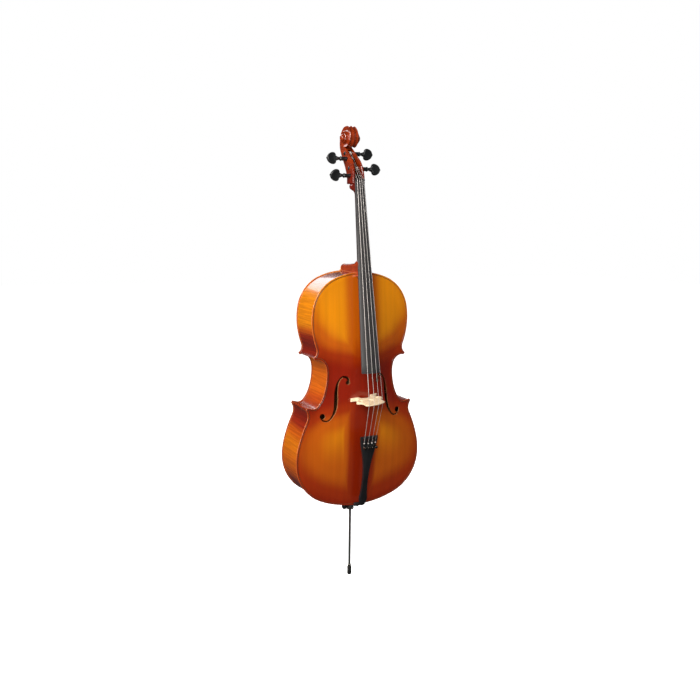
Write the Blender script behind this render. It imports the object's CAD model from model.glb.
"""A full-size cello in a shaded amber and red-brown varnish, standing on its drawn-out endpin."""

import math

import bmesh
import bpy
import numpy as np
from mathutils import Matrix, Vector
from mathutils.geometry import delaunay_2d_cdt


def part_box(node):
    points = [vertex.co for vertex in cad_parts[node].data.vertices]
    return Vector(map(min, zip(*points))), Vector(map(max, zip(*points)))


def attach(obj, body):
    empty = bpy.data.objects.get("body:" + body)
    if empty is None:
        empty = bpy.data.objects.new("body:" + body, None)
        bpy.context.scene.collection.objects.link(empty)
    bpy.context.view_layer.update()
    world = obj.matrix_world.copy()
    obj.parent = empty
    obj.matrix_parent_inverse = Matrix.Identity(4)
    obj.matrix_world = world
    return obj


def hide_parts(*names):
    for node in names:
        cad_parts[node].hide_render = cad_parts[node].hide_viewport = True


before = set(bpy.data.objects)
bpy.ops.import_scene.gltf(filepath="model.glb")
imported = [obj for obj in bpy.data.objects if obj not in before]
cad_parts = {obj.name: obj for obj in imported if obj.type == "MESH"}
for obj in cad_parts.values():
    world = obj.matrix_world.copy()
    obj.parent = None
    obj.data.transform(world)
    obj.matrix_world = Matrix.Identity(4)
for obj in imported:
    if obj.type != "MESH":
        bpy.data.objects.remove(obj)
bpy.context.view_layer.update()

# ---- Room ------------------------------------------------------------------------------
# A white floor in a white room. The key light and two softer ones stand in front on the bass
# side, a weak one stands on the treble side, and a broad panel hangs high behind.
EYE_TURN, EYE_RISE, EYE_ROLL = -26.264, 8.729, 0.654    # degrees
EYE_DISTANCE = 2.42185
LOOKED_AT = Vector((-0.00667, 0.0, 0.76856))
LENS = 38.515


def srgb(code):
    """A hex colour as the linear values that a shader takes."""
    parts = [int(code[i:i + 2], 16) / 255 for i in (0, 2, 4)]
    return [c / 12.92 if c <= 0.04045 else ((c + 0.055) / 1.055) ** 2.4 for c in parts] + [1.0]


def fill(tree, node, sockets):
    """Gives the inputs of a node their values or links."""
    for key, value in sockets.items():
        if isinstance(value, bpy.types.NodeSocket):
            tree.links.new(value, node.inputs[key])
        else:
            node.inputs[key].default_value = value


def put(tree, kind, sockets=None, **settings):
    """Adds one node; `settings` are its own properties."""
    node = tree.nodes.new(kind)
    for key, value in settings.items():
        setattr(node, key, value)
    fill(tree, node, sockets or {})
    return node


def stood(name, data):
    """A new object in the scene."""
    made = bpy.data.objects.new(name, data)
    bpy.context.scene.collection.objects.link(made)
    return made


def soft_light(name, place, aim, width, height, power, tint):
    lamp = bpy.data.lights.new(name, "AREA")
    lamp.shape = "RECTANGLE"
    lamp.size = width
    lamp.size_y = height
    lamp.energy = power
    lamp.color = srgb(tint)[:3]
    holder = stood(name, lamp)
    holder.location = place
    holder.rotation_euler = (Vector(aim) - Vector(place)).to_track_quat("-Z", "Y").to_euler()
    holder.visible_camera = False


def hang_camera():
    turn, rise, roll = (math.radians(a) for a in (EYE_TURN, EYE_RISE, EYE_ROLL))
    back = Vector((math.sin(turn) * math.cos(rise), -math.cos(turn) * math.cos(rise), math.sin(rise)))
    level = (-back).cross(Vector((0, 0, 1))).normalized()
    upright = level.cross(-back)
    right = math.cos(roll) * level + math.sin(roll) * upright
    up = math.cos(roll) * upright - math.sin(roll) * level
    lens = bpy.data.cameras.new("camera")
    lens.sensor_width = 36.0
    lens.lens = LENS
    camera = stood("camera", lens)
    camera.matrix_world = Matrix.Translation(LOOKED_AT + back * EYE_DISTANCE) @ Matrix(
        (right, up, back)).transposed().to_4x4()
    bpy.context.scene.camera = camera


hang_camera()
soft_light("key", (-1.65, -2.4, 2.0), (0, 0, 0.9), 1.5, 1.7, 60, "FFFBF6")
soft_light("high_bass_side", (-1.6, -0.8, 2.2), (0, 0, 0.9), 0.8, 0.8, 30, "FFFBF6")
soft_light("bass_side", (-3.0, -0.7, 1.2), (0, 0, 0.7), 1.4, 1.8, 42, "FFFBF6")
soft_light("treble_side", (2.8, -0.6, 1.6), (0, 0, 0.8), 1.2, 2.2, 8, "EAF0FF")
soft_light("behind", (-0.4, 2.8, 2.9), (0, 0, 0.7), 3.6, 1.6, 50, "FFFFFF")

world = bpy.data.worlds.new("white_room")
world.use_nodes = True
bpy.context.scene.world = world
room = world.node_tree
room.nodes.clear()
seen = put(room, "ShaderNodeBackground", {"Color": srgb("FFFFFF"), "Strength": 1.0})
felt = put(room, "ShaderNodeBackground", {"Color": srgb("F4F1EE"), "Strength": 0.26})
mirrored = put(room, "ShaderNodeBackground", {"Color": srgb("F4F1EE"), "Strength": 0.04})
ray = put(room, "ShaderNodeLightPath")
soft = put(room, "ShaderNodeMixShader", {
    0: ray.outputs["Is Glossy Ray"], 1: felt.outputs[0], 2: mirrored.outputs[0]})
pick = put(room, "ShaderNodeMixShader", {
    0: ray.outputs["Is Camera Ray"], 1: soft.outputs[0], 2: seen.outputs[0]})
put(room, "ShaderNodeOutputWorld", {"Surface": pick.outputs[0]})
bpy.context.scene.view_settings.view_transform = "Standard"


def material(name):
    """A new material's tree, its surface shader and its Object coordinates."""
    made = bpy.data.materials.new(name)
    made.use_nodes = True
    tree = made.node_tree
    tree.nodes.clear()
    shader = put(tree, "ShaderNodeBsdfPrincipled")
    put(tree, "ShaderNodeOutputMaterial", {"Surface": shader.outputs[0]})
    return made, tree, shader, put(tree, "ShaderNodeTexCoord").outputs["Object"]


def noise(tree, vector, scale, detail, **sockets):
    """A cloudy pattern from 0 to 1."""
    sockets.update(Vector=vector, Scale=scale, Detail=detail)
    return put(tree, "ShaderNodeTexNoise", sockets).outputs["Fac"]


def mixed(tree, share, a, b, blend="MIX"):
    return put(tree, "ShaderNodeMix", {0: share, 6: a, 7: b}, data_type="RGBA", blend_type=blend).outputs[2]


# Matt emulsion on a smooth board: an even, faintly mottled white, bright where no lamp reaches.
floor_paint, tree, shader, here = material("matt_white_floor")
fill(tree, shader, {
    "Base Color": mixed(tree, noise(tree, here, 3.0, 4.0), srgb("FFFFFF"), srgb("FBFBFB")),
    "Roughness": 0.9, "Specular IOR Level": 0.1,
    "Emission Color": srgb("FFFFFF"), "Emission Strength": 1.0})

bpy.ops.mesh.primitive_grid_add(x_subdivisions=4, y_subdivisions=4, size=30.0)
floor = bpy.context.object
floor.name = "floor"
floor.data.materials.append(floor_paint)
floor.visible_glossy = False
floor.visible_diffuse = False

# ---- Body outline ------------------------------------------------------------------------
# The plan that both plates and all six ribs are made to, drawn with tangent arcs from the
# bottom to the lower corner, from the waist down and up, and from the top to the upper corner.
MM = 0.001
BODY_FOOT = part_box("back_plate")[0].z
BODY_LENGTH = 755.0
LOWER_BOUT = ((337.4, 23.1), (142.9, 63.5), (200.0, 16.8), (420.9, 12.2), (37.3, -60.8))
LOWER_WAIST = ((196.6, 20.1), (91.1, 24.6), (18.5, 57.5), (149.7, 6.9))
UPPER_WAIST = ((93.6, -14.5), (34.6, -62.0), (22.0, -33.4))
UPPER_BOUT = ((237.0, -22.9), (122.4, -43.0), (119.9, -14.1), (223.7, -21.3), (265.7, -9.1), (24.9, 76.9))
WAIST_POINT = (116.0, 438.0)


def at(x, y, h):
    """A point in metres, from millimetres with h measured up from the body's bottom edge."""
    return Vector((x * MM, y * MM, h * MM + BODY_FOOT))


def arc_chain(x, h, heading, arcs, spacing=3.0):
    """Points along tangent arcs of (radius, turn in degrees)."""
    points = [(x, h)]
    heading = math.radians(heading)
    for radius, turn in arcs:
        turn = math.radians(turn)
        side = math.copysign(radius, turn)
        cx = x - side * math.sin(heading)
        ch = h + side * math.cos(heading)
        count = max(4, round(radius * abs(turn) / spacing))
        for i in range(1, count + 1):
            a = heading + turn * i / count
            points.append((cx + side * math.sin(a), ch - side * math.cos(a)))
        x, h = points[-1]
        heading += turn
    return points


def half_outline():
    """The treble half from bottom to top, and where its corners fall in the list."""
    lower = arc_chain(0, 0, 0, LOWER_BOUT)
    waist = arc_chain(*WAIST_POINT, -90, LOWER_WAIST)[::-1]
    waist += arc_chain(*WAIST_POINT, 90, UPPER_WAIST)[1:]
    upper = arc_chain(0, BODY_LENGTH, 0, UPPER_BOUT)[::-1]
    return lower + waist + upper, (len(lower) - 1, len(lower) + len(waist))


HALF, CORNERS = half_outline()
OUTLINE = np.array(HALF + [(-x, h) for x, h in HALF[-2:0:-1]])


def pulled_in(line, inset):
    """The closed line moved inwards, with as many points as before."""
    before = line - np.roll(line, 1, 0)
    after = np.roll(line, -1, 0) - line
    normals = []
    for step in (before, after):
        step = step / np.linalg.norm(step, axis=1)[:, None]
        normals.append(np.stack([-step[:, 1], step[:, 0]], 1))
    middle = normals[0] + normals[1]
    middle /= np.linalg.norm(middle, axis=1)[:, None]
    stretch = 1 / np.maximum((middle * normals[0]).sum(1), 0.45)
    return line + middle * (inset * stretch)[:, None]


def distance_to(line, points):
    """Distance from each point to a closed line."""
    a = line
    b = np.roll(line, -1, 0)
    d = b - a
    best = np.full(len(points), 1e9)
    for i in range(len(a)):
        t = np.clip(((points - a[i]) @ d[i]) / (d[i] @ d[i]), 0, 1)
        best = np.minimum(best, np.linalg.norm(points - a[i] - t[:, None] * d[i], axis=1))
    return best


def inside(line, points):
    """True for each point within a closed line."""
    x, h = points[:, 0], points[:, 1]
    found = np.zeros(len(points), bool)
    for (x0, h0), (x1, h1) in zip(line, np.roll(line, -1, 0)):
        crosses = (h0 > h) != (h1 > h)
        with np.errstate(divide="ignore", invalid="ignore"):
            found ^= crosses & (x < (x1 - x0) * (h - h0) / (h1 - h0) + x0)
    return found


def skin(rows, ring=True, ends=True):
    """Points and faces over rows of equally many points."""
    n = len(rows[0])
    faces = []
    for i in range(len(rows) - 1):
        for j in range(n if ring else n - 1):
            k = (j + 1) % n
            faces.append((i * n + j, i * n + k, i * n + n + k, i * n + n + j))
    if ends:
        last = (len(rows) - 1) * n
        faces.append(tuple(range(n - 1, -1, -1)))
        faces.append(tuple(range(last, last + n)))
    return [p for row in rows for p in row], faces


def mount(made, body, replaced):
    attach(made, body)
    if replaced:
        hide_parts(*replaced)
    return made


def dress(mesh, *finishes):
    """Gives a mesh these materials and no others."""
    mesh.materials.clear()
    for finish in finishes:
        mesh.materials.append(finish)


def as_piece(name, mesh, body="cello", replaced=(), sharp=40.0):
    mesh.shade_smooth()
    mesh.set_sharp_from_angle(angle=math.radians(sharp))
    return mount(stood(name, mesh), body, replaced)


def piece(name, shape, finishes, body="cello", replaced=(), sharp=35.0, pick=None, merge=0.00001):
    """Makes one finished piece from points and faces, closed up and turned outwards."""
    points, faces = shape
    mesh = bpy.data.meshes.new(name)
    mesh.from_pydata([tuple(p) for p in points], [], faces)
    dress(mesh, *finishes)
    if pick:
        for face in mesh.polygons:
            face.material_index = pick(face.index)
    work = bmesh.new()
    work.from_mesh(mesh)
    bmesh.ops.remove_doubles(work, verts=work.verts, dist=merge)
    bmesh.ops.dissolve_degenerate(work, edges=work.edges, dist=1e-7)
    bmesh.ops.recalc_face_normals(work, faces=work.faces)
    work.to_mesh(mesh)
    work.free()
    return as_piece(name, mesh, body, replaced, sharp)


# ---- Varnish -------------------------------------------------------------------------------
# Spirit varnish over stained wood: clear amber in the middle of each bout, sprayed down to a
# dark red-brown round the waist, at the corners and along the middle. It dries to a hard gloss.
AMBER, ORANGE, RED, DARK_RED = "E68C08", "C45C0A", "A03008", "8A1C06"


def number(tree, operation, a, b=0.0):
    """The result of one sum."""
    return put(tree, "ShaderNodeMath", {0: a, 1: b}, operation=operation).outputs[0]


def remap(tree, value, start, end, low=0.0, high=1.0, smooth=False):
    """Carries `value` from start..end to low..high, and holds it there beyond the ends."""
    return put(tree, "ShaderNodeMapRange", {
        "Value": value, "From Min": start, "From Max": end, "To Min": low, "To Max": high},
        interpolation_type="SMOOTHSTEP" if smooth else "LINEAR").outputs[0]


def bump(tree, height, strength, depth, under=None):
    """Relief up to `depth` millimetres, on top of the relief `under` it."""
    sockets = {"Height": height, "Strength": strength, "Distance": depth * MM}
    if under is not None:
        sockets["Normal"] = under
    return put(tree, "ShaderNodeBump", sockets).outputs[0]


def lobe(tree, across, height, middle, half_width, half_height):
    """1 on the rim of an ellipse about the centre line, less inside it."""
    u = number(tree, "DIVIDE", across, half_width * MM)
    v = number(tree, "SUBTRACT", height, middle * MM + BODY_FOOT)
    v = number(tree, "DIVIDE", v, half_height * MM)
    squares = number(tree, "ADD", number(tree, "MULTIPLY", u, u), number(tree, "MULTIPLY", v, v))
    return number(tree, "SQRT", squares)


def ramp(tree, value, stops, interpolation="EASE"):
    """A colour ramp; `stops` pairs places with hex colours."""
    node = put(tree, "ShaderNodeValToRGB", {0: value})
    band = node.color_ramp
    band.interpolation = interpolation
    while len(band.elements) < len(stops):
        band.elements.new(0.5)
    for element, (place, code) in zip(band.elements, stops):
        element.position = place
        element.color = srgb(code)
    return node.outputs[0]


def scaled(tree, vector, scale, turn=(0, 0, 0)):
    """Coordinates turned and multiplied up: `scale` patches to the metre, along x, y and z."""
    turn = [math.radians(a) for a in turn]
    return put(tree, "ShaderNodeMapping", {"Vector": vector, "Rotation": turn, "Scale": scale}).outputs[0]


def burst(tree, here, upper, lower, stripe):
    """How much red lies over the amber: 0 in the bouts, 1 at the waist."""
    part = put(tree, "ShaderNodeSeparateXYZ", {0: here}).outputs
    drift = number(tree, "SUBTRACT", noise(tree, here, 9.0, 2.0), 0.5)
    high = lobe(tree, part[0], part[2], *upper)
    low = lobe(tree, part[0], part[2], *lower)
    far = number(tree, "MINIMUM", high, low)
    far = number(tree, "ADD", far, number(tree, "MULTIPLY", drift, 0.16))
    waist = remap(tree, far, 0.45, 1.3, smooth=True)
    foot = remap(tree, part[2], 0.31 + BODY_FOOT, 0.05 + BODY_FOOT, high=0.5)
    foot = number(tree, "MULTIPLY", foot, number(tree, "SUBTRACT", 1.0, waist))
    waist = number(tree, "ADD", waist, foot)
    if not stripe:
        return waist
    width, strength = stripe
    middle = remap(tree, number(tree, "ABSOLUTE", part[0]), 0.02, width * MM, strength, 0.0, smooth=True)
    fade = remap(tree, part[2], 0.40 + BODY_FOOT, 0.56 + BODY_FOOT, 1.0, 0.45)
    return number(tree, "MAXIMUM", waist, number(tree, "MULTIPLY", middle, fade))


def lay_varnish(tree, shader, here, colour, wood_relief, depth):
    """The clear gloss on top: it sinks into the wood a little, ripples faintly, and dulls in patches."""
    ripple = noise(tree, here, 60.0, 2.0)
    relief = bump(tree, ripple, 0.10, 0.4, under=bump(tree, wood_relief, 0.35, depth))
    fill(tree, shader, {
        "Base Color": colour, "Normal": relief,
        "Roughness": remap(tree, noise(tree, here, 14.0, 5.0), 0.0, 1.0, 0.11, 0.26),
        "IOR": 1.5, "Coat Weight": 0.6, "Coat Roughness": 0.05, "Coat IOR": 1.52})


def rubbed_edge(tree, colour):
    """The colour is thinner on the turned-over rim, where the wood shows through lighter."""
    normal = put(tree, "ShaderNodeNewGeometry").outputs["True Normal"]
    facing = put(tree, "ShaderNodeSeparateXYZ", {0: normal}).outputs[1]
    rim = remap(tree, number(tree, "ABSOLUTE", facing), 0.85, 0.4, high=0.55)
    return mixed(tree, rim, colour, srgb("E88A48"))


def spruce_varnish():
    """Quarter-sawn spruce: straight dark year lines about 3 mm apart, under the varnish."""
    made, tree, shader, here = material("varnished_spruce")
    red = burst(tree, here, (655, 230, 175), (175, 250, 160), (86, 0.9))
    colour = ramp(tree, red, ((0.0, AMBER), (0.35, ORANGE), (0.72, RED), (1.0, DARK_RED)))
    line = put(tree, "ShaderNodeTexWave", {
        "Vector": here, "Scale": 98.0, "Distortion": 1.2, "Detail": 2.0, "Detail Scale": 0.15},
        wave_type="BANDS", bands_direction="X", wave_profile="SAW").outputs["Fac"]
    broad = noise(tree, scaled(tree, here, (70, 1, 2)), 1.0, 3.0)
    grain = number(tree, "ADD", number(tree, "MULTIPLY", line, 0.5), number(tree, "MULTIPLY", broad, 0.8))
    colour = mixed(tree, 1.0, colour, remap(tree, grain, 0.3, 1.1, 1.08, 0.80), "MULTIPLY")
    lay_varnish(tree, shader, here, rubbed_edge(tree, colour), line, 0.06)
    return made


def maple_varnish(name, upper, lower, flame_axis, tones, flame_depth, rim=False):
    """Flamed maple: soft dark and light stripes 6 to 12 mm wide across the wood, under the varnish."""
    made, tree, shader, here = material(name)
    colour = ramp(tree, burst(tree, here, upper, lower, None), tones)
    stripe = noise(tree, scaled(tree, here, *flame_axis), 1.0, 3.0, Roughness=0.6, Distortion=0.4)
    fleck = noise(tree, scaled(tree, here, (900, 900, 120)), 1.0, 2.0)
    shade = remap(tree, stripe, 0.36, 0.62, 1.12, 1.12 - flame_depth, smooth=True)
    speck = remap(tree, fleck, 0.3, 0.7, 1.05, 0.9)
    for share in (shade, speck):
        colour = mixed(tree, 1.0, colour, share, "MULTIPLY")
    if rim:
        colour = rubbed_edge(tree, colour)
    lay_varnish(tree, shader, here, colour, stripe, 0.10)
    return made


def bare_spruce(name, light, dark):
    """Planed, unvarnished wood inside the box: pale, dry, with year lines and a little dust."""
    made, tree, shader, here = material(name)
    line = put(tree, "ShaderNodeTexWave", {"Vector": here, "Scale": 95.0, "Distortion": 2.0, "Detail": 2.0},
               wave_type="BANDS", bands_direction="X").outputs["Fac"]
    light, dark = srgb(light), srgb(dark)
    dust = mixed(tree, noise(tree, here, 40.0, 5.0), dark, light)
    colour = mixed(tree, 0.35, mixed(tree, line, light, dark), dust)
    fill(tree, shader, {"Base Color": colour, "Normal": bump(tree, line, 0.3, 0.1), "Roughness": 0.8})
    return made


inner_wood = bare_spruce("planed_spruce", "7A5230", "5E3A20")
for inner in ("corner_blocks", "neck_block", "end_block", "linings_front", "linings_back", "bass_bar",
              "sound_post"):
    dress(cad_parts[inner].data, inner_wood)

# ---- Front and back ---------------------------------------------------------------------------
# Each plate is carved from two matched halves: 4.5 mm thick, arched in the middle, hollowed to a
# shallow channel near the edge, and rounded over where it stands out past the ribs.
EDGE_LEVEL = 63.5      # from the middle of the body's depth to the flat edge of either plate
THICKNESS = 4.5
FRONT_RISE, BACK_RISE = 22.5, 20.5
ARCHED_HALF = (
    (-20, 70), (12, 85), (30, 118), (60, 164), (100, 194), (162, 209), (230, 203), (290, 178),
    (320, 155), (345, 135), (370, 117), (390, 111), (438, 106), (470, 110), (500, 130),
    (520, 141), (560, 151), (607, 158), (660, 150), (700, 126), (730, 90), (745, 66), (790, 60))
RIM = ((2.2, 0.05), (1.2, -0.02), (0.45, 0.3), (0.0, 1.25), (0.0, 3.1), (0.45, 4.1), (1.2, 4.45), (2.2, 4.5))
GRID_SPACING = 6.5
CHANNEL_RINGS = (4.0, 6.0, 8.2, 11.0)
GRID_INSET = 13.5


def between(pairs, t):
    """A smooth curve through (t, value) pairs."""
    i = 0
    while i < len(pairs) - 2 and t > pairs[i + 1][0]:
        i += 1
    (t0, v0), (t1, v1) = pairs[i], pairs[i + 1]
    before, after = pairs[max(i - 1, 0)], pairs[min(i + 2, len(pairs) - 1)]
    m0 = (v1 - before[1]) / (t1 - before[0])
    m1 = (after[1] - v0) / (after[0] - t0)
    u = min(max((t - t0) / (t1 - t0), 0.0), 1.0)
    rise = (2 * u ** 3 - 3 * u ** 2 + 1) * v0 + (u ** 3 - 2 * u ** 2 + u) * (t1 - t0) * m0
    return rise + (3 * u ** 2 - 2 * u ** 3) * v1 + (u ** 3 - u ** 2) * (t1 - t0) * m1


def arching(x, h, rise):
    """Height of the carved middle above the flat edge."""
    along = min(abs(h - BODY_LENGTH / 2) / (BODY_LENGTH / 2 - 9.0), 1.0)
    across = min(abs(x) / between(ARCHED_HALF, h), 1.0)
    return rise * (1 - along ** 3) ** 1.6 * (1 - across ** 2.5) ** 1.8


def channel(distance):
    """Depth of the hollow that runs round inside the edge."""
    return 1.0 * math.exp(-((distance - 7.5) / 3.2) ** 2)


def triangulated(lines, loose, tolerance):
    """Corners, triangles and their middles; every closed line in `lines` is kept as edges."""
    flat = np.concatenate(lines + loose)
    edges = []
    start = 0
    for line in lines:
        edges += [(start + i, start + (i + 1) % len(line)) for i in range(len(line))]
        start += len(line)
    corners, _, triangles, *_ = delaunay_2d_cdt([Vector(p) for p in flat], edges, [], 0, tolerance)
    corners = np.array([tuple(p) for p in corners])
    return corners, triangles, np.array([corners[list(t)].mean(0) for t in triangles])


def plate_mesh(side, rise, outline, openings=()):
    """Points, faces and a list that says which faces are left bare, for one carved plate."""
    inner_rim = pulled_in(outline, RIM[0][0])
    keep = []
    for inset in CHANNEL_RINGS:
        ring = pulled_in(outline, inset)
        keep.append(ring[distance_to(outline, ring) > inset - 0.2][::2])
    rows = np.arange(-5, 800, GRID_SPACING * 0.866)
    grid = np.array([(x + (GRID_SPACING / 2 if i % 2 else 0), h) for i, h in enumerate(rows)
                     for x in np.arange(-230, 231, GRID_SPACING)])
    grid = grid[inside(outline, grid)]
    grid = grid[distance_to(outline, grid) > GRID_INSET]
    lines = [inner_rim]
    for hole in openings:
        keep = [ring[~near(hole, ring, 2.5)] for ring in keep]
        grid = grid[~near(hole, grid, 4.0)]
        around = pulled_in(hole, -2.2)
        grid = np.concatenate([grid, around[distance_to(hole, around) > 1.8]])
        lines.append(hole)
    corners, triangles, middles = triangulated(lines, keep + [grid], 1e-5)
    wanted = inside(inner_rim, middles)
    for hole in openings:
        wanted &= ~inside(hole, middles)
    triangles = [t for t, w in zip(triangles, wanted) if w]
    off_edge = distance_to(outline, corners)
    height = [arching(x, h, rise) for x, h in corners]
    outer = [at(x, side * (EDGE_LEVEL + z - channel(d)), h)
             for (x, h), z, d in zip(corners, height, off_edge)]
    inner = [at(x, side * (EDGE_LEVEL - THICKNESS + z), h) for (x, h), z in zip(corners, height)]
    n = len(corners)
    points = outer + inner
    faces = [tuple(t) for t in triangles] + [tuple(n + i for i in t[::-1]) for t in triangles]
    bare = [False] * len(triangles) + [True] * len(triangles)
    used = {}
    for t in triangles:
        for a, b in zip(t, t[1:] + t[:1]):
            used[a, b] = used.get((a, b), 0) + 1
    rim_side = inside(pulled_in(outline, RIM[0][0] + 0.6), corners)
    for a, b in used:
        if (b, a) not in used and rim_side[a] and rim_side[b]:
            faces.append((a, n + a, n + b, b))
            bare.append(True)
    depth = channel(RIM[0][0])
    rings = []
    for inset, drop in RIM:
        sunk = depth if drop == RIM[0][1] else depth * 0.5 if inset > 1 and drop < 0.3 else 0
        rings.append([at(x, side * (EDGE_LEVEL - drop - sunk), h) for x, h in pulled_in(outline, inset)])
    rim_points, rim_faces = skin(rings, ends=False)
    rim_points[:len(outline)] = [at(x, side * (EDGE_LEVEL - depth), h) for x, h in inner_rim]
    faces += [tuple(len(points) + i for i in f) for f in rim_faces]
    bare += [False] * len(rim_faces)
    return (points + rim_points, faces), bare


def near(line, points, distance):
    """True for points within a closed line or close to it."""
    return inside(line, points) | (distance_to(line, points) < distance)


F_LINE = (
    (48, 414), (54, 426), (68, 429), (81, 412), (86.5, 388), (89, 355), (93.5, 325), (105, 302),
    (119, 291.5), (132, 294), (138, 301))
F_WIDTH = (
    (0, 6.5), (0.08, 7.5), (0.15, 5.6), (0.2, 5.0), (0.36, 10.0), (0.5, 12.0), (0.64, 11.0),
    (0.82, 5.6), (0.92, 4.6), (1, 5.0))
F_EYES = ((52, 411, 6.8), (133, 306.5, 9.0))
STEM_MIDDLE = 88.5
F_NICK = ((4.5, 362.0), (8.8, 359.5), (4.5, 357.0))


def f_hole_parts():
    """The stem, the two round eyes and the two nicks of one hole, each as a closed line."""
    length = [0.0]
    for a, b in zip(F_LINE, F_LINE[1:]):
        length.append(length[-1] + math.dist(a, b))
    xs = [(s, p[0]) for s, p in zip(length, F_LINE)]
    hs = [(s, p[1]) for s, p in zip(length, F_LINE)]
    stations = np.linspace(0, length[-1], 49)
    middle = np.array([(between(xs, s), between(hs, s)) for s in stations])
    step = np.gradient(middle, axis=0)
    step /= np.linalg.norm(step, axis=1)[:, None]
    width = np.array([between(F_WIDTH, s / length[-1]) / 2 for s in stations])[:, None]
    out = np.stack([-step[:, 1], step[:, 0]], 1) * width
    stem = np.concatenate([middle + out, (middle - out)[::-1]])
    parts = [stem]
    for x, h, r in F_EYES:
        turn = np.linspace(0, 2 * math.pi, 29)[:-1]
        parts.append(np.stack([x + r * np.cos(turn), h + r * np.sin(turn)], 1))
    for way in (-1, 1):
        parts.append(np.array([(STEM_MIDDLE + way * x, h) for x, h in F_NICK]))
    return parts


def joined(parts):
    """The outer line round several overlapping closed lines."""
    corners, triangles, middles = triangulated(parts, [], 1e-4)
    wanted = np.zeros(len(triangles), bool)
    for part in parts:
        wanted |= inside(part, middles)
    edges = {}
    for t, w in zip(triangles, wanted):
        if w:
            for a, b in zip(t, t[1:] + t[:1]):
                edges[a] = edges.get(a, []) + [b]
    reverse = {(b, a) for a in edges for b in edges[a]}
    following = {a: [b for b in edges[a] if (a, b) not in reverse] for a in edges}
    following = {a: b[0] for a, b in following.items() if b}
    start = next(iter(following))
    loop = [start]
    while following[loop[-1]] != start:
        loop.append(following[loop[-1]])
    line = corners[loop]
    turn = (line[:, 0] * np.roll(line[:, 1], -1) - np.roll(line[:, 0], -1) * line[:, 1]).sum()
    return line if turn > 0 else line[::-1]


BUTTON_H, BUTTON_RADIUS = 762, 14


def with_button(line):
    """The back's outline carries the half-round button that the neck's heel is glued to."""
    arc = [(BUTTON_RADIUS * math.cos(a), BUTTON_H + BUTTON_RADIUS * math.sin(a))
           for a in np.linspace(0, math.pi, 17)]
    top = [i for i, (x, h) in enumerate(line) if h > 700 and abs(x) < BUTTON_RADIUS + 2]
    corner = [tuple(p) for p in line[:top[0]]] + arc
    return np.array(corner + [tuple(p) for p in line[top[-1] + 1:]])


spruce = spruce_varnish()
right_f = joined(f_hole_parts())
f_holes = [right_f, (right_f * (-1, 1))[::-1]]
shape, bare = plate_mesh(-1, FRONT_RISE, OUTLINE, f_holes)
f_edge = bare_spruce("stained_spruce_edge", "B87A48", "8A5430")
piece("front", shape, [spruce, f_edge], replaced=["top_plate"], sharp=50,
      pick=lambda i: int(bare[i]))

RIB_TONES = ((0.0, "DE8206"), (0.4, "C05408"), (0.75, "8E240A"), (1.0, "7A1A08"))
back_maple = maple_varnish("varnished_maple_back", (640, 200, 190), (165, 235, 190),
                           ((12, 8, 110), (0, 8, 0)), RIB_TONES, 0.4, rim=True)
shape, bare_back = plate_mesh(1, BACK_RISE, with_button(OUTLINE))
piece("back", shape, [back_maple, f_edge], replaced=["back_plate"], sharp=50,
      pick=lambda i: int(bare_back[i]))

# ---- Ribs ------------------------------------------------------------------------------------
# Six strips of flamed maple 1.8 mm thick, bent to the outline 3 mm inside the plates' edge and
# mitred at the corners. The flame runs straight across each strip from front to back.
RIB_DEPTH, RIB_INSET, RIB_WALL = 118.0, 3.0, 1.8
rib_outer = pulled_in(OUTLINE, RIB_INSET)
rib_inner = pulled_in(OUTLINE, RIB_INSET + RIB_WALL)
rib_maple = maple_varnish("varnished_maple_ribs", (640, 640, 90), (175, 640, 105),
                          ((40, 6, 210), (0, 0, 0)), RIB_TONES, 0.3)


def rib_shape(first, last, side):
    rows = []
    for i in range(first, last + 1):
        (x0, h0), (x1, h1) = rib_outer[i], rib_inner[i]
        y = RIB_DEPTH / 2
        rows.append([at(side * x0, -y, h0), at(side * x0, 0, h0), at(side * x0, y, h0),
                     at(side * x1, y, h1), at(side * x1, 0, h1), at(side * x1, -y, h1)])
    return skin(rows)


waist_maple = maple_varnish("varnished_maple_waist", (445, 640, 105), (445, 640, 105),
                            ((40, 6, 230), (0, 0, 0)),
                            ((0.0, "D2640E"), (0.5, "B8480E"), (1.0, "8A2208")), 0.3)
for side, name in ((-1, "bass"), (1, "treble")):
    for part, first, last, finish in (
            ("lower_rib", 0, CORNERS[0], rib_maple),
            ("c_rib", *CORNERS, waist_maple),
            ("upper_rib", CORNERS[1], len(HALF) - 1, rib_maple)):
        cad = part + "_" + name
        piece(cad + "_bent", rib_shape(first, last, side), [finish],
              replaced=[cad], sharp=40)

# ---- Purfling ----------------------------------------------------------------------------------
# Three thin strips, black, white and black, glued into a groove 4.2 mm inside each plate's edge.
# They stop a split that starts at the rim from running into the plate.
PURFLING = ((4.4, "outer_black"), (4.9, "white"), (5.4, "inner_black"))
STRIP_RADIUS = 0.28


def strip_maker(name, settings):
    """A Geometry Nodes tree with named number inputs; returns it with its ends."""
    tree = bpy.data.node_groups.new(name, "GeometryNodeTree")
    tree.interface.new_socket("Geometry", in_out="INPUT", socket_type="NodeSocketGeometry")
    for label, value in settings.items():
        socket = tree.interface.new_socket(label, in_out="INPUT", socket_type="NodeSocketFloat")
        socket.default_value = value
    tree.interface.new_socket("Geometry", in_out="OUTPUT", socket_type="NodeSocketGeometry")
    return tree, put(tree, "NodeGroupInput"), put(tree, "NodeGroupOutput")


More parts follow.
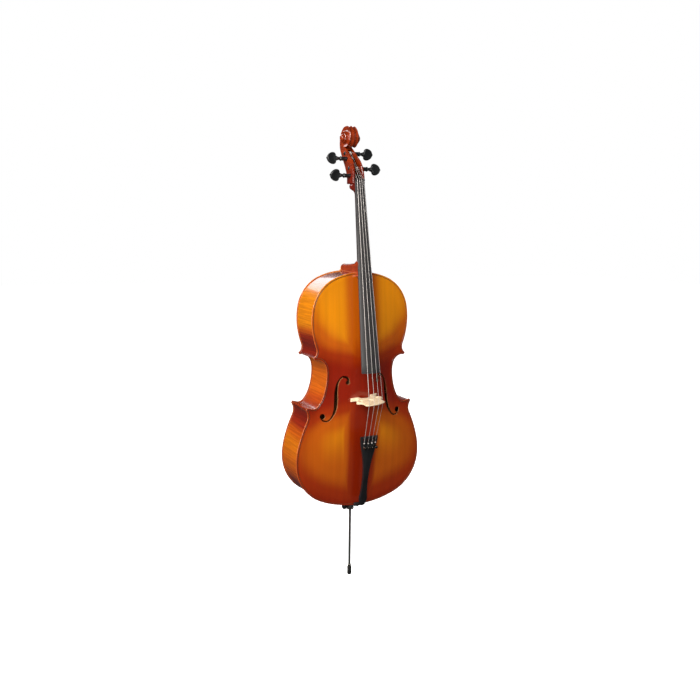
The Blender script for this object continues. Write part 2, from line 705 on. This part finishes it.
def grown(tree, settings, base=None):
    """The plain mesh that a Geometry Nodes tree gives, on an object with its inputs set."""
    holder = bpy.data.objects.new("grower", base or bpy.data.meshes.new("grower"))
    bpy.context.scene.collection.objects.link(holder)
    growth = holder.modifiers.new("grow", "NODES")
    growth.node_group = tree
    sockets = {s.name: s.identifier for s in tree.interface.items_tree if s.in_out == "INPUT"}
    for label, value in settings.items():
        growth[sockets[label]] = float(value)
    graph = bpy.context.evaluated_depsgraph_get()
    mesh = bpy.data.meshes.new_from_object(holder.evaluated_get(graph), depsgraph=graph)
    bpy.data.objects.remove(holder)
    return mesh




def dyed_wood(name, code, rough):
    """Thin veneer dyed right through: a flat colour with browner fibres, under the varnish."""
    made, tree, shader, here = material(name)
    fibre = noise(tree, here, 300.0, 3.0)
    fill(tree, shader, {
        "Base Color": mixed(tree, fibre, srgb(code), srgb("3A2A1C")), "Roughness": rough, "Coat Weight": 0.5})
    return made


def sweep(tree, path, radius, sides, finish, output, caps=False):
    """A round section swept along the path, in its material, is what the tree gives."""
    section = put(tree, "GeometryNodeCurvePrimitiveCircle", {"Resolution": sides, "Radius": radius})
    swept = put(tree, "GeometryNodeCurveToMesh", {
        "Curve": path.outputs[0], "Profile Curve": section.outputs[0], "Fill Caps": caps})
    coloured = put(tree, "GeometryNodeSetMaterial", {"Geometry": swept.outputs[0], "Material": finish})
    whole = put(tree, "GeometryNodeRealizeInstances", {"Geometry": coloured.outputs[0]})
    tree.links.new(whole.outputs[0], output.inputs[0])


black_strip = dyed_wood("dyed_pearwood", "140C08", 0.4)
white_strip = dyed_wood("poplar_strip", "B8803A", 0.4)
tree, inputs, output = strip_maker("purfling_strip", {"Radius": 0.0003})
line = put(tree, "GeometryNodeMeshToCurve", {"Mesh": inputs.outputs["Geometry"]})
sweep(tree, line, inputs.outputs["Radius"], 6, black_strip, output)


def purfling_line(inset, side, rise, outline):
    """The closed path of one strip on the plate's surface."""
    moved = pulled_in(outline, inset)
    moved = moved[distance_to(outline, moved) > inset - 0.03]
    points = [at(x, side * (EDGE_LEVEL + arching(x, h, rise) - channel(inset) - 0.05), h) for x, h in moved]
    mesh = bpy.data.meshes.new("path")
    n = len(points)
    mesh.from_pydata([tuple(p) for p in points], [(i, (i + 1) % n) for i in range(n)], [])
    return mesh


for side, name, rise in ((-1, "front", FRONT_RISE), (1, "back", BACK_RISE)):
    for inset, label in PURFLING:
        strip = grown(tree, {"Radius": STRIP_RADIUS * MM}, purfling_line(inset, side, rise, OUTLINE))
        dress(strip, white_strip if label == "white" else black_strip)
        as_piece("purfling_%s_%s" % (name, label), strip,
                 replaced=["purfling_" + name] if label == "white" else ())

# ---- Neck, pegbox and scroll ----------------------------------------------------------------------
# One piece of maple. The heel is let into the top block, the shaft is half round, the pegbox is a
# trough with thick cheeks, and the volute is carved down in two and a half turns to its eyes.
NUT_H, BOARD_END_H = 1034.0, 445.0
head_maple = maple_varnish(
    "varnished_maple_head", (1250, 400, 260), (560, 240, 130), ((60, 22, 95), (35, 0, 0)),
    ((0.0, "90300E"), (0.4, "761C0A"), (0.75, "5E120A"), (1.0, "460A0A")), 0.4)
heel_maple = maple_varnish(
    "varnished_maple_neck", (1250, 400, 260), (780, 400, 200), ((60, 22, 95), (35, 0, 0)),
    ((0.0, "A03A18"), (0.4, "882610"), (0.75, "761A0E"), (1.0, "5E100A")), 0.3)


def board_plane(h):
    return -36.0 - (NUT_H - h) * 0.1604


def board_half(h):
    return 15.5 + (NUT_H - h) / (NUT_H - BOARD_END_H) * 15.5


NECK_BACK = (
    (780, -51.0), (790, -52.5), (810, -51.0), (860, -43.9), (920, -35.2), (970, -28.0), (992, -24.0),
    (1000, -19.5), (1004, -13.0), (1007, -5.0), (1010, 1.0), (1014, 5.5), (1018, 7.6), (1021.5, 7.4),
    (1024, 5.6), (1026, 4.5), (1040, 4.5))
CHIN_HALF = (
    (900, -2.2), (985, -2.2), (1000, -2.2), (1004, -1.2), (1008, 0.6), (1012, 2.0), (1017, 2.4),
    (1021, 1.6), (1024, 0.0), (1040, -0.5))


def neck_row(h):
    """Flat against the fingerboard and round behind; the round grows into the chin under the pegbox."""
    front = board_plane(h)
    half = board_half(h)
    chin = max(0.0, min(1.0, (h - 992) / 16))
    half_back = half + between(CHIN_HALF, h)
    depth = between(NECK_BACK, h) - front
    row = [at(-half, front + 0.02, h), at(half, front + 0.02, h)]
    power = 0.9 - 0.42 * chin
    for i in range(25):
        a = math.pi * i / 24
        c = math.cos(a)
        across = math.copysign(abs(c) ** (1 - 0.5 * chin), c)
        wide = half - 0.6 if i in (0, 24) else half_back
        deep = (depth - 1.5) * max(0.0, math.sin(a)) ** power
        row.append(at(wide * across, front + 1.5 + deep, h))
    return row


neck_heights = [790 + 8 * i for i in range(25)] + [985 + 2.5 * i for i in range(22)]
piece("neck_shaft", skin([neck_row(h) for h in neck_heights]), [head_maple],
      replaced=["neck_scroll"])

HEEL_FOOT, HEEL_SHOULDER = 742, 11
HEEL_TOP = (
    (-84, 791), (-60, 790.5), (-55, 788.5), (-50, 785), (-44, 782.3), (-32, 780.5), (-16, 779),
    (6, 777.4), (30, 776.2), (50, 775.4), (57, 774.8), (60.5, 773.0))


def heel_row(y):
    """The heel's cross-section at one depth: tapered towards the button, with rounded shoulders."""
    half = 22.5 - 9.0 * (y + 83) / 142
    top = between(HEEL_TOP, y)
    row = [at(-half, y, HEEL_FOOT), at(half, y, HEEL_FOOT)]
    for i in range(17):
        a = math.pi * i / 16
        across = math.copysign(abs(math.cos(a)) ** 0.42, math.cos(a))
        row.append(at(half * across, y, top - HEEL_SHOULDER + HEEL_SHOULDER * math.sin(a) ** 0.62))
    return row


heel_depths = [-82, -70, -60, -52, -46, -40, -34, -28, -20, -12, -4, 6, 18, 30, 42, 50, 56, 58.5]
piece("neck_heel", skin([heel_row(y) for y in heel_depths]), [heel_maple])

PEGBOX_BACK = (
    (1020, 7.0), (1028, 8), (1046, 10), (1064, 19), (1083, 33), (1100, 48), (1114, 60), (1126, 69),
    (1140, 77), (1154, 80), (1166, 79))
PEGBOX_FRONT = (
    (1020, -37.6), (1034, -36), (1050, -35), (1074, -28.5), (1095, -16), (1110, 2), (1127, 22),
    (1146, 46), (1160, 52), (1170, 56))
PEGBOX_FLOOR = ((1041, -6), (1064, 7), (1083, 21), (1100, 36), (1114, 46), (1125, 51), (1133, 49))
PEGBOX_HALF = ((1026, 20.8), (1040, 20.4), (1070, 18.6), (1100, 15.8), (1135, 13.4), (1170, 12.8))


def pegbox_row(h, trim=0.0):
    """Round the trough at one height: the back with its centre ridge, a cheek, and the hollow."""
    back, front = between(PEGBOX_BACK, h) - trim, between(PEGBOX_FRONT, h) + trim
    half = between(PEGBOX_HALF, h) - trim
    wall = 14.5 - 6.5 * (h - 1040) / 94
    floor = front
    if 1041.5 < h < 1133:
        floor = max(between(PEGBOX_FLOOR, h), front)
    ridge = min(1.0, max(0.0, (h - 1032) / 20))
    middle = (back + front) / 2
    half_row = [
        (0, back + 0.5), (0.12 * half, back + 0.1), (0.35 * half, back - 1.9 * ridge),
        (0.62 * half, back - 2.0 * ridge), (half - 2.6, back - 0.3), (half - 1.2, back),
        (half - 0.1, back - 1.3), (half + 0.4, middle), (half, front + 1.4), (half - 1.1, front),
        (wall + 0.9, front), (wall, front + min(0.9, floor - front)),
        (wall - 0.2, (floor * 2 + front) / 3), (wall - 0.8, floor - min(1.2, floor - front)),
        (wall - 2.4, floor), (0, floor)]
    return [at(x, y, h) for x, y in half_row] + [at(-x, y, h) for x, y in half_row[-2:0:-1]]


pegbox_heights = [1025.4, 1027, 1034, 1040, 1041.4, 1041.6] + [1044 + 4 * i for i in range(22)]
pegbox_heights += [1131, 1132.9, 1133.1, 1137, 1141, 1146, 1151, 1156, 1160]
pegbox_rows = [pegbox_row(h, 1.0 if h == 1025.4 else 0.0) for h in pegbox_heights]
piece("pegbox_cheeks", skin(pegbox_rows), [head_maple], sharp=32)

EYE_BACK, EYE_UP = 31.0, 1168.0
TURN_RADIUS = (
    (-45, 56.0), (-30, 53.2), (0, 47.6), (30, 43.4), (60, 40.2), (90, 37.8), (120, 35.4), (150, 33.3),
    (180, 31.5), (225, 29.4), (270, 28.0), (360, 24.6), (450, 21.2), (540, 18.2), (630, 15.4),
    (720, 12.8), (810, 10.4), (900, 8.6), (1300, 8.6))
TURN_HALF = (
    (-45, 12.9), (0, 13.1), (90, 13.8), (180, 15.4), (270, 17.6), (360, 20.2), (450, 22.8),
    (540, 25.2), (630, 27.4), (720, 29.2), (810, 30.6), (900, 31.4), (1300, 31.4))
LAST_TURN = 900.0
TURN_STEP = 7.5


def volute_row(turn):
    """Across one turn: from the spine or the wall's foot, over the edge, to the next turn's foot."""
    radius = between(TURN_RADIUS, turn)
    half = between(TURN_HALF, turn)
    inner = between(TURN_RADIUS, turn + 360)
    scoop = 2.6 * min(1.0, max(0.0, (turn + 20) / 90))
    if turn < 330:
        row = [(radius + 0.5, 0), (radius + 0.1, 0.13 * half), (radius - 1.9, 0.36 * half),
               (radius - 2.1, 0.62 * half), (radius - 0.3, half - 2.8)]
    else:
        foot = between(TURN_HALF, turn - 360) - 2.6 * min(1.0, max(0.0, (turn - 340) / 90)) * 0.8
        row = [(radius + 1.0, foot), (radius + 0.3, foot + 0.5), (radius + 0.1, foot + 1.5),
               (radius, (foot + half) / 2), (radius, half - 2.6)]
    row += [(radius - 0.1, half - 1.3), (radius - 1.5, half)]
    width = radius - inner - 2.5
    for share, drop in ((0.2, 0.45), (0.42, 0.85), (0.66, 1.0), (0.85, 0.95)):
        row.append((radius - 1.5 - width * share, half - scoop * drop))
    row.append((inner + 1.0, half - scoop * 0.8))
    a = math.radians(turn)
    return [(x, EYE_BACK + r * math.cos(a), EYE_UP + r * math.sin(a)) for r, x in row]


def volute():
    count = int((LAST_TURN + 30) / TURN_STEP) + 1
    rows = [volute_row(-30 + TURN_STEP * i) for i in range(count)]
    eye = []
    for radius, half in ((11.5, 24.0), (11.0, 28.6), (9.2, 29.2), (8.7, 31.0), (7.6, 32.0),
                         (5.0, 32.3), (0.01, 32.4)):
        ring = []
        for j in range(48):
            a = math.radians(LAST_TURN + 7.5 * j)
            ring.append((half, EYE_BACK + radius * math.cos(a), EYE_UP + radius * math.sin(a)))
        eye.append(ring)
    shapes = []
    for side in (1, -1):
        shapes.append(skin([[at(side * x, y, h) for x, y, h in row] for row in rows], ring=False, ends=False))
        shapes.append(skin([[at(side * x, y, h) for x, y, h in ring] for ring in eye], ends=False))
    return together(shapes)


def together(shapes):
    """Several sets of points and faces as one."""
    points, faces = [], []
    for some, more in shapes:
        faces += [tuple(len(points) + i for i in face) for face in more]
        points += some
    return points, faces


piece("scroll_volute", volute(), [head_maple], sharp=38, merge=0.00005)

# ---- Fingerboard, nut and saddle ------------------------------------------------------------------
# Black-stained hardwood scraped to a curve, a hollow under its free end, and its edges just eased.
# The nut and saddle are little blocks of the same black wood that the strings and tailgut bear on.


def black_wood(name, light, dark, rough, grain):
    """Dense black wood with closed pores: a satin polish with fine streaks along the grain."""
    made, tree, shader, here = material(name)
    streak = noise(tree, scaled(tree, here, grain), 1.0, 4.0)
    fill(tree, shader, {
        "Base Color": mixed(tree, streak, srgb(dark), srgb(light)),
        "Normal": bump(tree, streak, 0.2, 0.05),
        "Roughness": remap(tree, noise(tree, here, 25.0, 3.0), 0.0, 1.0, rough - 0.08, rough + 0.10),
        "IOR": 1.52})
    return made


board_wood = black_wood("scraped_black_fingerboard", "424142", "2C2B2C", 0.42, (900, 900, 25))
fitting_wood = black_wood("turned_black_wood", "26282A", "101112", 0.34, (120, 700, 700))
BOARD_CURVE = 62.0


def board_row(h):
    half = board_half(h)
    top = -45.0 - (NUT_H - h) * 0.168
    base = board_plane(h)
    row = []
    for i in range(21):
        x = half * (1 - 0.035) * (i / 10 - 1)
        row.append(at(x, top + BOARD_CURVE - math.sqrt(BOARD_CURVE ** 2 - x * x), h))
    side_top = top + BOARD_CURVE - math.sqrt(BOARD_CURVE ** 2 - half * half)
    row += [at(half - 0.25, side_top + 0.25, h), at(half, side_top + 1.0, h),
            at(half, base - 0.6, h), at(half - 0.5, base, h)]
    deep = 7.0 * max(0.0, min(1.0, (745 - h) / 290))
    width = 14.0 + 10.0 * max(0.0, min(1.0, (745 - h) / 300))
    for i in range(9):
        share = i / 4 - 1
        row.append(at(-share * width, base - deep * (1 - share * share), h))
    row += [at(0.5 - half, base, h), at(-half, base - 0.6, h),
            at(-half, side_top + 1.0, h), at(0.25 - half, side_top + 0.25, h)]
    return row


def eased(rows, trim=0.5):
    """The same rows with a small chamfer at each end."""
    def shrunk(row, beside):
        middle = sum(row, Vector()) / len(row)
        step = (beside[0] - row[0]).normalized() * trim * MM
        return [p + (middle - p).normalized() * trim * MM for p in row], [p + step for p in row]
    first, start = shrunk(rows[0], rows[1])
    last, end = shrunk(rows[-1], rows[-2])
    return [first, start] + rows[1:-1] + [end, last]


board_rows = [board_row(BOARD_END_H + 2 + (NUT_H - 2.02 - BOARD_END_H) * i / 24) for i in range(25)]
piece("fingerboard_scraped", skin(eased(board_rows)), [board_wood],
      replaced=["fingerboard"], sharp=30)


def worked(holder):
    """The plain mesh that an object comes to once its modifiers have worked."""
    graph = bpy.context.evaluated_depsgraph_get()
    return bpy.data.meshes.new_from_object(holder.evaluated_get(graph), depsgraph=graph)


def softened(node, finish, body, width=0.35):
    """A CAD piece with its edges eased and its faces joined up."""
    work = bmesh.new()
    work.from_mesh(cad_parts[node].data)
    bmesh.ops.remove_doubles(work, verts=work.verts, dist=0.000005)
    bmesh.ops.dissolve_limit(work, angle_limit=math.radians(0.6), verts=work.verts, edges=work.edges)
    mesh = bpy.data.meshes.new(node + "_finished")
    work.to_mesh(mesh)
    work.free()
    dress(mesh, finish)
    made = stood(mesh.name, mesh)
    ease = made.modifiers.new("ease", "BEVEL")
    ease.width = width * MM
    ease.segments = 2
    ease.limit_method = "ANGLE"
    ease.angle_limit = math.radians(30)
    mesh.shade_smooth()
    final = worked(made)
    made.modifiers.clear()
    made.data = final
    final.set_sharp_from_angle(angle=math.radians(50))
    return mount(made, body, [node])


softened("nut", fitting_wood, "cello", 0.5)
softened("saddle", fitting_wood, "cello", 0.6)

# ---- Bridge --------------------------------------------------------------------------------------
# Quarter-cut maple on two feet fitted to the arching, with a heart and two kidneys sawn through.
# Its back face stands square to the body and its front face slopes, so the crown is 3 mm thick.
BRIDGE_H, CROWN_APEX, CROWN_RADIUS = 360.0, 175.5, 73.0
FOOT_THICK, CROWN_THICK = 11.0, 3.0
BRIDGE_TURN = math.radians(6.0)    # it stands a little askew, the bass foot lower
BRIDGE_HALF = (
    (46, 76), (46, 85), (43, 87.6), (38, 89), (31.5, 91), (27.5, 94), (26, 98), (27, 103), (30, 108),
    (35, 112.8), (39.5, 115.2), (42, 118.2), (43.6, 121.5), (43.9, 125.5), (42.4, 129), (39, 131.5),
    (35, 134.2), (32, 138.5), (30.8, 144), (30.8, 150), (31.4, 158), (32.2, 166))
BRIDGE_UNDER = ((23, 76), (22.2, 84), (19.8, 91), (16, 97.5), (11, 102.5), (5, 105.4), (0, 106))


def bridge_outline():
    """The closed front view as (x, height above the centre plane)."""
    half = list(BRIDGE_HALF)
    for i in range(1, 9):
        x = 32.2 * (1 - i / 8)
        half.append((x, CROWN_APEX - CROWN_RADIUS + math.sqrt(CROWN_RADIUS ** 2 - x * x)))
    under = list(BRIDGE_UNDER)
    sole = [(46 - 23 * i / 8, 0) for i in range(1, 8)]
    right = half + [(-x, u) for x, u in half[-2::-1]]
    left_sole = [(-x, u) for x, u in sole[::-1]]
    below = [(-x, u) for x, u in under] + [(x, u) for x, u in under[-2::-1]]
    closed = right + left_sole + below + sole[::-1]
    return [(x, EDGE_LEVEL + arching(x, BRIDGE_H, FRONT_RISE) - 0.1 if u in (0, 76) else u)
            for x, u in closed]


HEART_MIDDLE, HEART_SCALE = 132.0, 0.62


def heart():
    points = []
    for i in range(36):
        t = 2 * math.pi * i / 36
        x = 16 * math.sin(t) ** 3
        u = 13 * math.cos(t) - 5 * math.cos(2 * t) - 2 * math.cos(3 * t) - math.cos(4 * t)
        points.append((x * HEART_SCALE, HEART_MIDDLE + u * HEART_SCALE))
    return points


KIDNEY_X, KIDNEY_U, KIDNEY_RADIUS = 27.0, 122.0, 6.0


def kidney(side):
    """The eye of one kidney, flat on its outer side."""
    turns = [math.radians(a) for a in range(24, 337, 12)]
    return [(side * (KIDNEY_X + KIDNEY_RADIUS * math.cos(a)), KIDNEY_U + KIDNEY_RADIUS * math.sin(a))
            for a in turns]


def sawn_sheet(outline, holes, half_thick, bevel):
    """A flat piece sawn from sheet with eased edges: x and y in its plane, z through it."""
    sheet = bpy.data.curves.new("sheet", "CURVE")
    sheet.dimensions = "2D"
    sheet.fill_mode = "BOTH"
    sheet.extrude = (half_thick - bevel) * MM
    sheet.bevel_depth = bevel * MM
    sheet.bevel_resolution = 2
    sheet.offset = -bevel * MM
    for line in [outline] + list(holes):
        spline = sheet.splines.new("POLY")
        spline.points.add(len(line) - 1)
        for point, (x, y) in zip(spline.points, line):
            point.co = (x * MM, y * MM, 0, 1)
        spline.use_cyclic_u = True
    holder = stood("sheet", sheet)
    mesh = worked(holder)
    bpy.data.objects.remove(holder)
    return mesh


# Unvarnished maple, quarter cut: pale cream with short brown flecks of ray across the face.
bridge_maple, tree, shader, here = material("bridge_maple")
grain = noise(tree, scaled(tree, here, (40, 500, 500)), 1.0, 4.0)
rays = noise(tree, scaled(tree, here, (250, 900, 1800)), 1.0, 1.0)
fleck = remap(tree, rays, 0.60, 0.66, high=0.7)
tan = mixed(tree, grain, srgb("F0D4A8"), srgb("FBEACB"))
fill(tree, shader, {
    "Base Color": mixed(tree, fleck, tan, srgb("B98A52")), "Roughness": 0.45,
    "Normal": bump(tree, grain, 0.2, 0.05)})

HALF_THICK = FOOT_THICK / 2
bridge_mesh = sawn_sheet(bridge_outline(), [heart(), kidney(1), kidney(-1)], HALF_THICK, 0.6)
for vertex in bridge_mesh.vertices:
    x, out, through = vertex.co / MM
    slope = max(0.0, min(1.0, (out - 86) / 89.5))
    front = HALF_THICK - (FOOT_THICK - CROWN_THICK) * slope
    share = (through + HALF_THICK) / FOOT_THICK
    h = share * (front + HALF_THICK) - HALF_THICK
    across = x * math.cos(BRIDGE_TURN) + h * math.sin(BRIDGE_TURN) + 1.5
    vertex.co = at(across, -out, BRIDGE_H + h * math.cos(BRIDGE_TURN) + x * math.sin(BRIDGE_TURN))
work = bmesh.new()
work.from_mesh(bridge_mesh)
bmesh.ops.remove_doubles(work, verts=work.verts, dist=0.00001)
bmesh.ops.recalc_face_normals(work, faces=work.faces)
work.to_mesh(bridge_mesh)
work.free()
dress(bridge_mesh, bridge_maple)
as_piece("bridge_cut", bridge_mesh, replaced=["bridge"])

# ---- Strings -----------------------------------------------------------------------------------------
# Steel cores wound with flat wire. The two thick ones are wound with a greyer metal. Each runs
# from its tuner over the bridge and nut to its peg, where the end is coiled on the shank.


def wound_wire(name, light, dark):
    """Polished flat winding: bright, with a very fine ripple across the string."""
    made, tree, shader, here = material(name)
    rib = put(tree, "ShaderNodeTexWave", {"Vector": here, "Scale": 300.0}, bands_direction="Z").outputs["Fac"]
    colour = mixed(tree, noise(tree, here, 60.0, 2.0), srgb(dark), srgb(light))
    fill(tree, shader, {
        "Base Color": colour, "Normal": bump(tree, rib, 0.15, 0.05), "Metallic": 0.55, "Roughness": 0.38})
    return made


grey_wound = wound_wire("tungsten_wound_string", "E4DEDA", "C4BEBA")
bright_wound = wound_wire("chrome_wound_string", "ECE6E2", "CCC6C2")
STRING_RADIUS = (0.80, 0.60, 0.48, 0.36)
for letter, finish in zip("cgda", (grey_wound, grey_wound, bright_wound, bright_wound)):
    dress(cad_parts["string_" + letter].data, finish)

# ---- Pegs --------------------------------------------------------------------------------------------
# Turned black-stained wood: a tapered shank through both cheeks, a bead, a waisted neck, and a
# flat dished thumbpiece with square shoulders and a small pip at its tip.
PEG_PLACES = (
    (-1, -14.0, 1049.5, 15.0, 70.0), (-1, 20.0, 1103.5, -8.0, 66.0),
    (1, 37.0, 1122.0, 12.0, 64.0), (1, -2.0, 1073.0, -14.0, 72.0))
PEG_ENDS = (20.0, 16.5, 16.5, 20.0)
THUMB_EDGE = (
    (0, 17.8), (30, 17.5), (60, 17.4), (80, 17.9), (98, 18.6), (112, 18.9), (124, 18.2), (134, 16.6),
    (143, 15.0), (153, 14.2), (166, 14.0), (180, 14.0))
THUMB_DISH = (
    (0.01, 3.3), (0.25, 3.5), (0.5, 4.0), (0.72, 4.9), (0.86, 5.2), (0.95, 4.2), (0.99, 2.4), (1.0, 0.0))
PIP_AT = 17.2


def turned(profile, foot, along, count=40):
    """A turned shape: (distance along the axis, radius) pairs in millimetres."""
    along = Vector(along).normalized()
    across = along.orthogonal().normalized()
    other = along.cross(across)
    rows = []
    for s, r in profile:
        ring = []
        for i in range(count):
            a = 2 * math.pi * i / count
            ring.append(foot + (along * s + (across * math.cos(a) + other * math.sin(a)) * r) * MM)
        rows.append(ring)
    return skin(rows)


def thumbpiece(side, y, h, tilt, reach):
    rows = []
    lean = math.radians(tilt)
    for face, dish in ((-1, THUMB_DISH), (1, THUMB_DISH[-2::-1])):
        for share, half in dish:
            ring = []
            for i in range(64):
                a = 360 * i / 64
                edge = between(THUMB_EDGE, min(a, 360 - a)) * share
                u, v = edge * math.cos(math.radians(a)), edge * math.sin(math.radians(a))
                w = face * half
                deep = y + w * math.cos(lean) - v * math.sin(lean)
                ring.append(at(side * (reach + u), deep, h + w * math.sin(lean) + v * math.cos(lean)))
            rows.append(ring)
    return skin(rows)


def peg_shape(side, y, h, tilt, reach, far):
    length = far + reach
    bead = length - 29.5
    shank = [(0, 4.8), (0.4, 5.4), (1.2, 5.9), (bead, 6.3), (bead + 0.3, 7.2), (bead + 1.2, 7.7),
             (bead + 2.1, 7.2), (bead + 2.6, 6.2)]
    neck = [(bead + 3.6, 5.0), (bead + 5.6, 4.6), (bead + 8.4, 4.8), (bead + 11.5, 5.6),
            (bead + 14.0, 6.9), (bead + 16.0, 7.6), (bead + 19, 3.0)]
    pip = [(-2, 2.6), (0, 2.7), (0.8, 3.0), (1.8, 2.7), (2.5, 1.6), (2.7, 0.01)]
    axis = (side, 0, 0)
    return together([turned(shank + neck, at(-side * far, y, h), axis), thumbpiece(side, y, h, tilt, reach),
                     turned(pip, at(side * (reach + PIP_AT), y, h), axis, 24)])


for letter, place, far in zip("cgda", PEG_PLACES, PEG_ENDS):
    piece("peg_%s_turned" % letter, peg_shape(*place, far), [fitting_wood], body="peg_" + letter,
          replaced=["peg_" + letter], sharp=40)

coil_tree, inputs, output = strip_maker(
    "wire_coil", {"Turns": 5.0, "Coil radius": 0.0072, "Wire radius": 0.0008, "Length": 0.008})
spiral = put(coil_tree, "GeometryNodeCurveSpiral", {
    "Resolution": 32, "Rotations": inputs.outputs["Turns"], "Height": inputs.outputs["Length"],
    "Start Radius": inputs.outputs["Coil radius"], "End Radius": inputs.outputs["Coil radius"]})
sweep(coil_tree, spiral, inputs.outputs["Wire radius"], 10, grey_wound, output, caps=True)
COIL_HALF, SHANK_RADIUS = 4.0, 6.3
COIL_X = (-6.6, -2.22, 2.22, 6.6)
for letter, place, radius, x in zip("cgda", PEG_PLACES, STRING_RADIUS, COIL_X):
    coil = grown(coil_tree, {"Turns": COIL_HALF / radius, "Coil radius": (SHANK_RADIUS + radius) * MM,
                             "Wire radius": radius * MM, "Length": 2 * COIL_HALF * MM})
    centre = at(x - COIL_HALF, place[1], place[2])
    coil.transform(Matrix.Translation(centre) @ Matrix.Rotation(math.pi / 2, 4, "Y"))
    if not coil.materials:
        coil.materials.append(grey_wound)
    as_piece("coil_" + letter, coil, body="peg_" + letter, replaced=["winding_" + letter])

# ---- Tailpiece and fine tuners ---------------------------------------------------------------------------
# One moulding of black composite with a raised fret across it. Four bent levers are pinned into
# it, each worked by a nickel-plated screw with a knurled head.


def moulded(name, light, dark, rough):
    """Satin moulded composite: nearly black, with a faint orange-peel in its gloss."""
    made, tree, shader, here = material(name)
    colour = mixed(tree, noise(tree, here, 30.0, 3.0), srgb(dark), srgb(light))
    peel = noise(tree, here, 900.0, 2.0)
    fill(tree, shader, {"Base Color": colour, "Normal": bump(tree, peel, 0.15, 0.05), "Roughness": rough})
    return made


def plated(name, light, dark, rough):
    """Bright metal whose gloss is broken by faint clouding and hairline scratches."""
    made, tree, shader, here = material(name)
    colour = mixed(tree, noise(tree, here, 90.0, 4.0), srgb(dark), srgb(light))
    hair = noise(tree, scaled(tree, here, (2500, 2500, 60)), 1.0, 2.0)
    gloss = remap(tree, hair, 0.0, 1.0, rough - 0.05, rough + 0.1)
    fill(tree, shader, {"Base Color": colour, "Roughness": gloss, "Metallic": 1.0})
    return made


tail_composite = moulded("satin_black_composite", "26282B", "121315", 0.32)
nickel = plated("nickel_plate", "DDD8D0", "B4AEA6", 0.22)
worn_nickel = plated("worn_nickel_plate", "8C8882", "5E5A56", 0.2)
softened("tailpiece", tail_composite, "cello", 0.5)
softened("tuner_pins", nickel, "cello", 0.1)
for letter in "cgda":
    softened("tuner_lever_" + letter, tail_composite, "tuner_lever_" + letter, 0.3)
    softened("tuner_screw_" + letter, nickel, "tuner_screw_" + letter, 0.15)
    softened("tuner_knob_" + letter, worn_nickel, "tuner_knob_" + letter, 0.3)
dress(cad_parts["tailgut"].data, moulded("tailgut_nylon", "2A2622", "161210", 0.4))

# ---- Endpin ------------------------------------------------------------------------------------------------
# A black plug in the bottom block, a drawn-steel collar with a thumb-screw that clamps the steel
# rod, and on the rod's end a ferrule and a rubber tip.
drawn_steel = plated("drawn_steel", "CFCBC6", "A8A4A0", 0.3)
tip_rubber = moulded("black_rubber", "222222", "0C0C0C", 0.6)
softened("endpin_plug", tail_composite, "cello", 0.8)
softened("endpin_sleeve", drawn_steel, "cello", 0.5)
softened("endpin_clamp_screw", nickel, "clamp_screw", 0.3)
softened("endpin_clamp_knob", tail_composite, "clamp_knob", 0.8)
softened("endpin_rod", drawn_steel, "endpin", 0.6)
softened("endpin_ferrule", nickel, "endpin", 0.4)
softened("rubber_tip", tip_rubber, "rubber_tip", 1.0)
